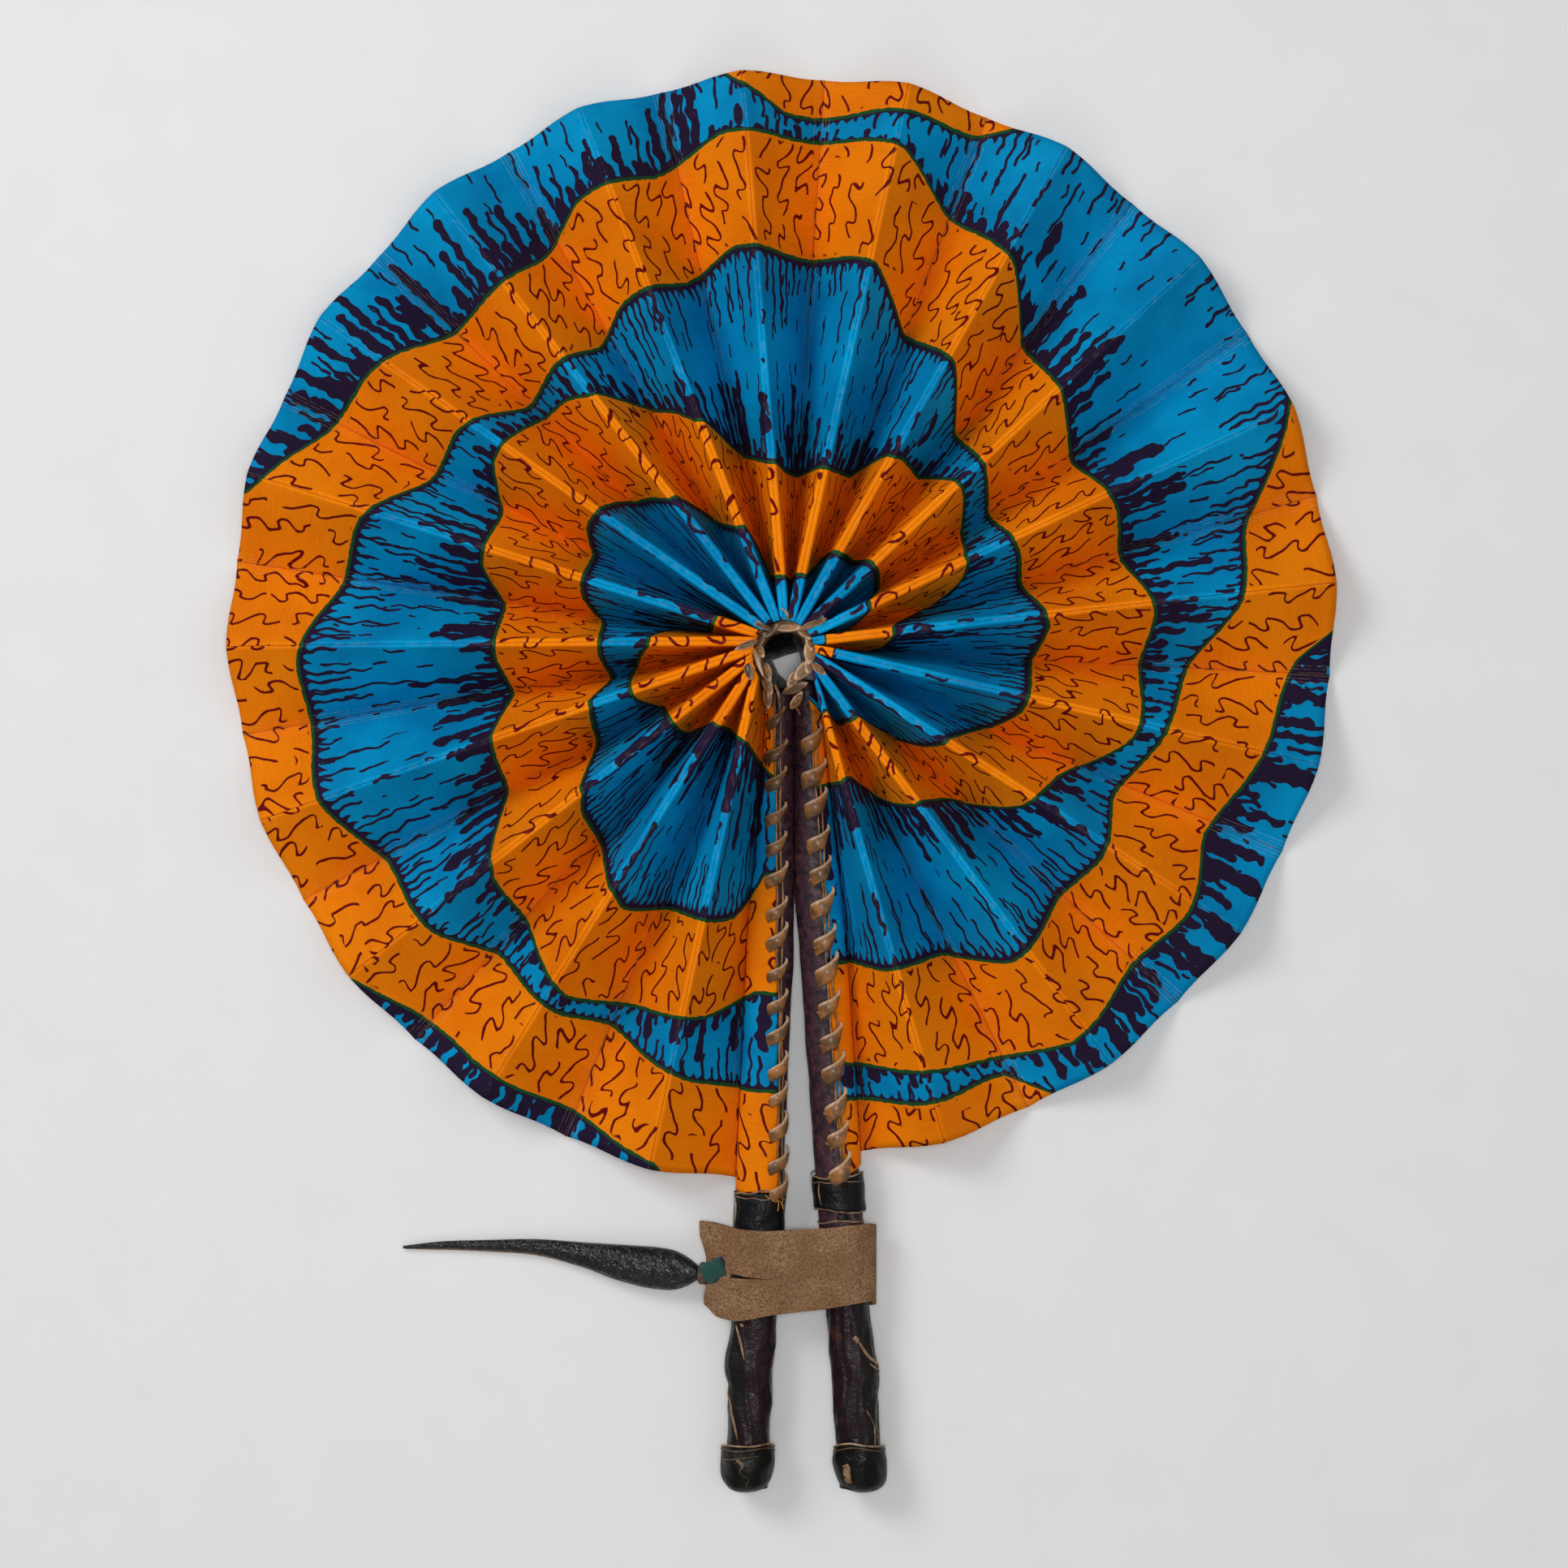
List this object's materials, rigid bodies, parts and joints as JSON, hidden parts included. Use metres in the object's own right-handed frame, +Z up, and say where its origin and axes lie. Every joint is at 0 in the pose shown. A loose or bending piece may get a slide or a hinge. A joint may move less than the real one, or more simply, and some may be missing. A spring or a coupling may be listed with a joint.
{
  "type": "folding hand fan",
  "caption": "Round pleated cloth fan that opens full circle between two leather-covered sticks, held at the handles by a suede strap with a long tongue.",
  "frame": {"origin": "middle of the open fan's outline, on the table under it", "axes": "+Z up from the table; -Y towards the handles; +X to the right seen from above"},
  "size_m": [0.3784, 0.485, 0.0353],
  "materials": {
    "cloth_orange": "printed cotton, matte",
    "cloth_blue": "printed cotton, matte",
    "wood": "plain, hidden",
    "purple_leather": "satin, wrinkled",
    "black_leather": "satin, grained",
    "thong": "smooth, slightly glossy",
    "suede": "suede, matte",
    "neck_cloth": "knitted, matte"
  },
  "bodies": {
    "left_stick": {"left_stick_core": "wood", "left_stick_cover": "purple_leather", "left_collar": "black_leather", "left_handle_wrap": "purple_leather", "left_end_cap": "black_leather", "left_end_panel": "cloth_orange", "left_lacing": "thong", "left_lacing_core": "thong", "centre_ring": "thong", "hub_lining": "black_leather"},
    "ridge_01": {"ridge_01": "cloth_orange"},
    "valley_01": {"valley_01": "cloth_blue"},
    "ridge_02": {"ridge_02": "cloth_orange"},
    "valley_02": {"valley_02": "cloth_blue"},
    "ridge_03": {"ridge_03": "cloth_orange"},
    "valley_03": {"valley_03": "cloth_blue"},
    "ridge_04": {"ridge_04": "cloth_orange"},
    "valley_04": {"valley_04": "cloth_blue"},
    "ridge_05": {"ridge_05": "cloth_orange"},
    "valley_05": {"valley_05": "cloth_blue"},
    "ridge_06": {"ridge_06": "cloth_orange"},
    "valley_06": {"valley_06": "cloth_blue"},
    "ridge_07": {"ridge_07": "cloth_orange"},
    "valley_07": {"valley_07": "cloth_blue"},
    "ridge_08": {"ridge_08": "cloth_orange"},
    "valley_08": {"valley_08": "cloth_blue"},
    "ridge_09": {"ridge_09": "cloth_orange"},
    "valley_09": {"valley_09": "cloth_blue"},
    "ridge_10": {"ridge_10": "cloth_orange"},
    "valley_10": {"valley_10": "cloth_blue"},
    "ridge_11": {"ridge_11": "cloth_orange"},
    "valley_11": {"valley_11": "cloth_blue"},
    "ridge_12": {"ridge_12": "cloth_orange"},
    "valley_12": {"valley_12": "cloth_blue"},
    "ridge_13": {"ridge_13": "cloth_orange"},
    "valley_13": {"valley_13": "cloth_blue"},
    "ridge_14": {"ridge_14": "cloth_orange"},
    "valley_14": {"valley_14": "cloth_blue"},
    "ridge_15": {"ridge_15": "cloth_orange"},
    "valley_15": {"valley_15": "cloth_blue"},
    "ridge_16": {"ridge_16": "cloth_orange"},
    "valley_16": {"valley_16": "cloth_blue"},
    "ridge_17": {"ridge_17": "cloth_orange"},
    "valley_17": {"valley_17": "cloth_blue"},
    "ridge_18": {"ridge_18": "cloth_orange"},
    "valley_18": {"valley_18": "cloth_blue"},
    "ridge_19": {"ridge_19": "cloth_orange"},
    "right_stick": {"right_stick_core": "wood", "right_stick_cover": "purple_leather", "right_collar": "black_leather", "right_handle_wrap": "purple_leather", "right_end_cap": "black_leather", "right_end_panel": "cloth_orange", "right_lacing": "thong", "right_lacing_core": "thong"},
    "strap": {"handle_strap": "suede", "neck_binding": "neck_cloth"},
    "tongue": {"tongue": "black_leather"}
  },
  "joints": [
    {"name": "leaf_fold", "type": "hinge", "parent": "left_stick", "child": "ridge_01", "pos_m": [0.01597, 0.05367, 0.0309], "axis": [-0.5857, 0.0814, 0.8064], "range_deg": [0, 10.74], "deforming": ["ridge_01", "valley_01", "ridge_02", "valley_02", "ridge_03", "valley_03", "ridge_04", "valley_04", "ridge_05", "valley_05", "ridge_06", "valley_06", "ridge_07", "valley_07", "ridge_08", "valley_08", "ridge_09", "valley_09", "ridge_10", "valley_10", "ridge_11", "valley_11", "ridge_12", "valley_12", "ridge_13", "valley_13", "ridge_14", "valley_14", "ridge_15", "valley_15", "ridge_16", "valley_16", "ridge_17", "valley_17", "ridge_18", "valley_18", "ridge_19", "left_end_panel", "right_end_panel", "centre_ring", "hub_lining", "handle_strap"]},
    {"name": "leaf_fold_02", "type": "hinge", "parent": "ridge_01", "child": "valley_01", "pos_m": [-0.01129, 0.0394, 0.01741], "axis": [0.5102, -0.1587, 0.8453], "range_deg": [0, 11.92]},
    {"name": "leaf_fold_03", "type": "hinge", "parent": "valley_01", "child": "ridge_02", "pos_m": [-0.00039, 0.03589, 0.0228], "axis": [-0.5196, 0.2671, 0.8116], "range_deg": [0, 12.33]},
    {"name": "leaf_fold_04", "type": "hinge", "parent": "ridge_02", "child": "valley_02", "pos_m": [-0.01267, 0.04479, 0.0195], "axis": [0.468, -0.3549, 0.8093], "range_deg": [0, 12.27]},
    {"name": "leaf_fold_05", "type": "hinge", "parent": "valley_02", "child": "ridge_03", "pos_m": [-0.00282, 0.03725, 0.02182], "axis": [-0.3956, 0.4233, 0.815], "range_deg": [0, 12.06]},
    {"name": "leaf_fold_06", "type": "hinge", "parent": "ridge_03", "child": "valley_03", "pos_m": [-0.01137, 0.04973, 0.02035], "axis": [0.3207, -0.4882, 0.8117], "range_deg": [0, 11.96]},
    {"name": "leaf_fold_07", "type": "hinge", "parent": "valley_03", "child": "ridge_04", "pos_m": [-0.00453, 0.03917, 0.02101], "axis": [-0.2302, 0.5226, 0.8209], "range_deg": [0, 11.66]},
    {"name": "leaf_fold_08", "type": "hinge", "parent": "ridge_04", "child": "valley_04", "pos_m": [-0.00856, 0.05363, 0.02096], "axis": [0.1422, -0.5589, 0.8169], "range_deg": [0, 11.55]},
    {"name": "leaf_fold_09", "type": "hinge", "parent": "valley_04", "child": "ridge_05", "pos_m": [-0.0056, 0.04124, 0.02039], "axis": [-0.0491, 0.5577, 0.8286], "range_deg": [0, 11.21]},
    {"name": "leaf_fold_10", "type": "hinge", "parent": "ridge_05", "child": "valley_05", "pos_m": [-0.00496, 0.05606, 0.02128], "axis": [-0.0412, -0.5644, 0.8245], "range_deg": [0, 11.09]},
    {"name": "leaf_fold_11", "type": "hinge", "parent": "valley_05", "child": "ridge_06", "pos_m": [-0.00623, 0.04325, 0.02001], "axis": [0.1244, 0.5331, 0.8369], "range_deg": [0, 10.76]},
    {"name": "leaf_fold_12", "type": "hinge", "parent": "ridge_06", "child": "valley_06", "pos_m": [-0.00127, 0.057, 0.02133], "axis": [-0.2078, -0.5126, 0.8331], "range_deg": [0, 10.65]},
    {"name": "leaf_fold_13", "type": "hinge", "parent": "valley_06", "child": "ridge_07", "pos_m": [-0.00659, 0.04517, 0.01986], "axis": [0.2739, 0.4603, 0.8444], "range_deg": [0, 10.36]},
    {"name": "leaf_fold_14", "type": "hinge", "parent": "ridge_07", "child": "valley_07", "pos_m": [0.002, 0.05672, 0.02117], "axis": [-0.3433, -0.4174, 0.8414], "range_deg": [0, 10.27]},
    {"name": "leaf_fold_15", "type": "hinge", "parent": "valley_07", "child": "ridge_08", "pos_m": [-0.00676, 0.04706, 0.01992], "axis": [0.391, 0.3531, 0.85], "range_deg": [0, 10.06]},
    {"name": "leaf_fold_16", "type": "hinge", "parent": "ridge_08", "child": "valley_08", "pos_m": [0.00461, 0.05557, 0.02087], "axis": [-0.4416, -0.2933, 0.8479], "range_deg": [0, 9.99]},
    {"name": "leaf_fold_17", "type": "hinge", "parent": "valley_08", "child": "ridge_09", "pos_m": [-0.0067, 0.04896, 0.02015], "axis": [0.4727, 0.2231, 0.8525], "range_deg": [0, 9.88]},
    {"name": "leaf_fold_18", "type": "hinge", "parent": "ridge_09", "child": "valley_09", "pos_m": [0.00648, 0.05388, 0.02049], "axis": [-0.5015, -0.1521, 0.8517], "range_deg": [0, 9.85]},
    {"name": "leaf_fold_19", "type": "hinge", "parent": "valley_09", "child": "ridge_10", "pos_m": [-0.00632, 0.05089, 0.02052], "axis": [0.5185, 0.0784, 0.8515], "range_deg": [0, 9.85]},
    {"name": "leaf_fold_20", "type": "hinge", "parent": "ridge_10", "child": "valley_10", "pos_m": [0.00768, 0.05193, 0.02011], "axis": [-0.5235, -0.002, 0.852], "range_deg": [0, 9.87]},
    {"name": "leaf_fold_21", "type": "hinge", "parent": "valley_10", "child": "ridge_11", "pos_m": [-0.00546, 0.05283, 0.02098], "axis": [0.5268, -0.0749, 0.8467], "range_deg": [0, 9.98]},
    {"name": "leaf_fold_22", "type": "hinge", "parent": "ridge_11", "child": "valley_11", "pos_m": [0.00833, 0.04987, 0.01978], "axis": [-0.5071, 0.1508, 0.8486], "range_deg": [0, 10.04]},
    {"name": "leaf_fold_23", "type": "hinge", "parent": "valley_11", "child": "ridge_12", "pos_m": [-0.00397, 0.05464, 0.02147], "axis": [0.4942, -0.2305, 0.8383], "range_deg": [0, 10.27]},
    {"name": "leaf_fold_24", "type": "hinge", "parent": "ridge_12", "child": "valley_12", "pos_m": [0.00853, 0.04782, 0.01953], "axis": [-0.4498, 0.2995, 0.8414], "range_deg": [0, 10.36]},
    {"name": "leaf_fold_25", "type": "hinge", "parent": "valley_12", "child": "ridge_13", "pos_m": [-0.0017, 0.05611, 0.02193], "axis": [0.4158, -0.3786, 0.8269], "range_deg": [0, 10.7]},
    {"name": "leaf_fold_26", "type": "hinge", "parent": "ridge_13", "child": "valley_13", "pos_m": [0.00841, 0.04584, 0.01942], "axis": [-0.3483, 0.4336, 0.8311], "range_deg": [0, 10.82]},
    {"name": "leaf_fold_27", "type": "hinge", "parent": "valley_13", "child": "ridge_14", "pos_m": [0.00138, 0.05691, 0.02227], "axis": [0.2889, -0.504, 0.8139], "range_deg": [0, 11.23]},
    {"name": "leaf_fold_28", "type": "hinge", "parent": "ridge_14", "child": "valley_14", "pos_m": [0.00807, 0.04394, 0.01948], "axis": [-0.202, 0.5374, 0.8188], "range_deg": [0, 11.37]},
    {"name": "leaf_fold_29", "type": "hinge", "parent": "valley_14", "child": "ridge_15", "pos_m": [0.00512, 0.05661, 0.02242], "axis": [0.1175, -0.5865, 0.8014], "range_deg": [0, 11.82]},
    {"name": "leaf_fold_30", "type": "hinge", "parent": "ridge_15", "child": "valley_15", "pos_m": [0.00756, 0.04207, 0.01973], "axis": [-0.0183, 0.591, 0.8065], "range_deg": [0, 11.96]},
    {"name": "leaf_fold_31", "type": "hinge", "parent": "valley_15", "child": "ridge_16", "pos_m": [0.00911, 0.05486, 0.02231], "axis": [-0.0832, -0.6049, 0.792], "range_deg": [0, 12.39]},
    {"name": "leaf_fold_32", "type": "hinge", "parent": "ridge_16", "child": "valley_16", "pos_m": [0.00681, 0.04021, 0.02014], "axis": [0.184, 0.5756, 0.7968], "range_deg": [0, 12.52]},
    {"name": "leaf_fold_33", "type": "hinge", "parent": "valley_16", "child": "ridge_17", "pos_m": [0.01272, 0.05151, 0.02192], "axis": [-0.2856, -0.5449, 0.7884], "range_deg": [0, 12.84]},
    {"name": "leaf_fold_34", "type": "hinge", "parent": "ridge_17", "child": "valley_17", "pos_m": [0.0057, 0.03839, 0.02067], "axis": [0.3743, 0.4817, 0.7924], "range_deg": [0, 12.95]},
    {"name": "leaf_fold_35", "type": "hinge", "parent": "valley_17", "child": "ridge_18", "pos_m": [0.01519, 0.04675, 0.02129], "axis": [-0.4538, -0.4078, 0.7923], "range_deg": [0, 13.1]},
    {"name": "leaf_fold_36", "type": "hinge", "parent": "ridge_18", "child": "valley_18", "pos_m": [0.00411, 0.03684, 0.0212], "axis": [0.5171, 0.3171, 0.795], "range_deg": [0, 13.17]},
    {"name": "leaf_fold_37", "type": "hinge", "parent": "valley_18", "child": "ridge_19", "pos_m": [0.01521, 0.04091, 0.01944], "axis": [-0.4843, -0.187, 0.8547], "range_deg": [0, 12.34]},
    {"name": "leaf_fold_38", "type": "hinge", "parent": "ridge_19", "child": "right_stick", "pos_m": [-0.0195, 0.01109, 0.03675], "axis": [0.4942, 0.0901, 0.8647], "range_deg": [0, 12.76]},
    {"name": "strap_slide", "type": "slide", "parent": "left_stick", "child": "strap", "axis": [-0.0488, -0.9988, 0], "range_m": [0, 0.0951]},
    {"name": "tongue_swing", "type": "hinge", "parent": "strap", "child": "tongue", "pos_m": [-0.02797, -0.16734, 0.00819], "axis": [0, 0, 1], "range_deg": [-28, 45]}
  ],
  "couplings": [
    {"joint": "leaf_fold_02", "follows": "leaf_fold", "ratio": 1.1071},
    {"joint": "leaf_fold_03", "follows": "leaf_fold", "ratio": 1.1461},
    {"joint": "leaf_fold_04", "follows": "leaf_fold", "ratio": 1.1399},
    {"joint": "leaf_fold_05", "follows": "leaf_fold", "ratio": 1.1202},
    {"joint": "leaf_fold_06", "follows": "leaf_fold", "ratio": 1.1112},
    {"joint": "leaf_fold_07", "follows": "leaf_fold", "ratio": 1.0838},
    {"joint": "leaf_fold_08", "follows": "leaf_fold", "ratio": 1.073},
    {"joint": "leaf_fold_09", "follows": "leaf_fold", "ratio": 1.0418},
    {"joint": "leaf_fold_10", "follows": "leaf_fold", "ratio": 1.0306},
    {"joint": "leaf_fold_11", "follows": "leaf_fold", "ratio": 0.99964},
    {"joint": "leaf_fold_12", "follows": "leaf_fold", "ratio": 0.98919},
    {"joint": "leaf_fold_13", "follows": "leaf_fold", "ratio": 0.96235},
    {"joint": "leaf_fold_14", "follows": "leaf_fold", "ratio": 0.95374},
    {"joint": "leaf_fold_15", "follows": "leaf_fold", "ratio": 0.93399},
    {"joint": "leaf_fold_16", "follows": "leaf_fold", "ratio": 0.92818},
    {"joint": "leaf_fold_17", "follows": "leaf_fold", "ratio": 0.91755},
    {"joint": "leaf_fold_18", "follows": "leaf_fold", "ratio": 0.91526},
    {"joint": "leaf_fold_19", "follows": "leaf_fold", "ratio": 0.91498},
    {"joint": "leaf_fold_20", "follows": "leaf_fold", "ratio": 0.91655},
    {"joint": "leaf_fold_21", "follows": "leaf_fold", "ratio": 0.92717},
    {"joint": "leaf_fold_22", "follows": "leaf_fold", "ratio": 0.93251},
    {"joint": "leaf_fold_23", "follows": "leaf_fold", "ratio": 0.9539},
    {"joint": "leaf_fold_24", "follows": "leaf_fold", "ratio": 0.96251},
    {"joint": "leaf_fold_25", "follows": "leaf_fold", "ratio": 0.99368},
    {"joint": "leaf_fold_26", "follows": "leaf_fold", "ratio": 1.0047},
    {"joint": "leaf_fold_27", "follows": "leaf_fold", "ratio": 1.0435},
    {"joint": "leaf_fold_28", "follows": "leaf_fold", "ratio": 1.0559},
    {"joint": "leaf_fold_29", "follows": "leaf_fold", "ratio": 1.0983},
    {"joint": "leaf_fold_30", "follows": "leaf_fold", "ratio": 1.1111},
    {"joint": "leaf_fold_31", "follows": "leaf_fold", "ratio": 1.151},
    {"joint": "leaf_fold_32", "follows": "leaf_fold", "ratio": 1.1629},
    {"joint": "leaf_fold_33", "follows": "leaf_fold", "ratio": 1.193},
    {"joint": "leaf_fold_34", "follows": "leaf_fold", "ratio": 1.2031},
    {"joint": "leaf_fold_35", "follows": "leaf_fold", "ratio": 1.2171},
    {"joint": "leaf_fold_36", "follows": "leaf_fold", "ratio": 1.2242},
    {"joint": "leaf_fold_37", "follows": "leaf_fold", "ratio": 1.147},
    {"joint": "leaf_fold_38", "follows": "leaf_fold", "ratio": 1.1855},
    {"joint": "strap_slide", "follows": "leaf_fold", "m_per_rad": 0.50659}
  ]
}
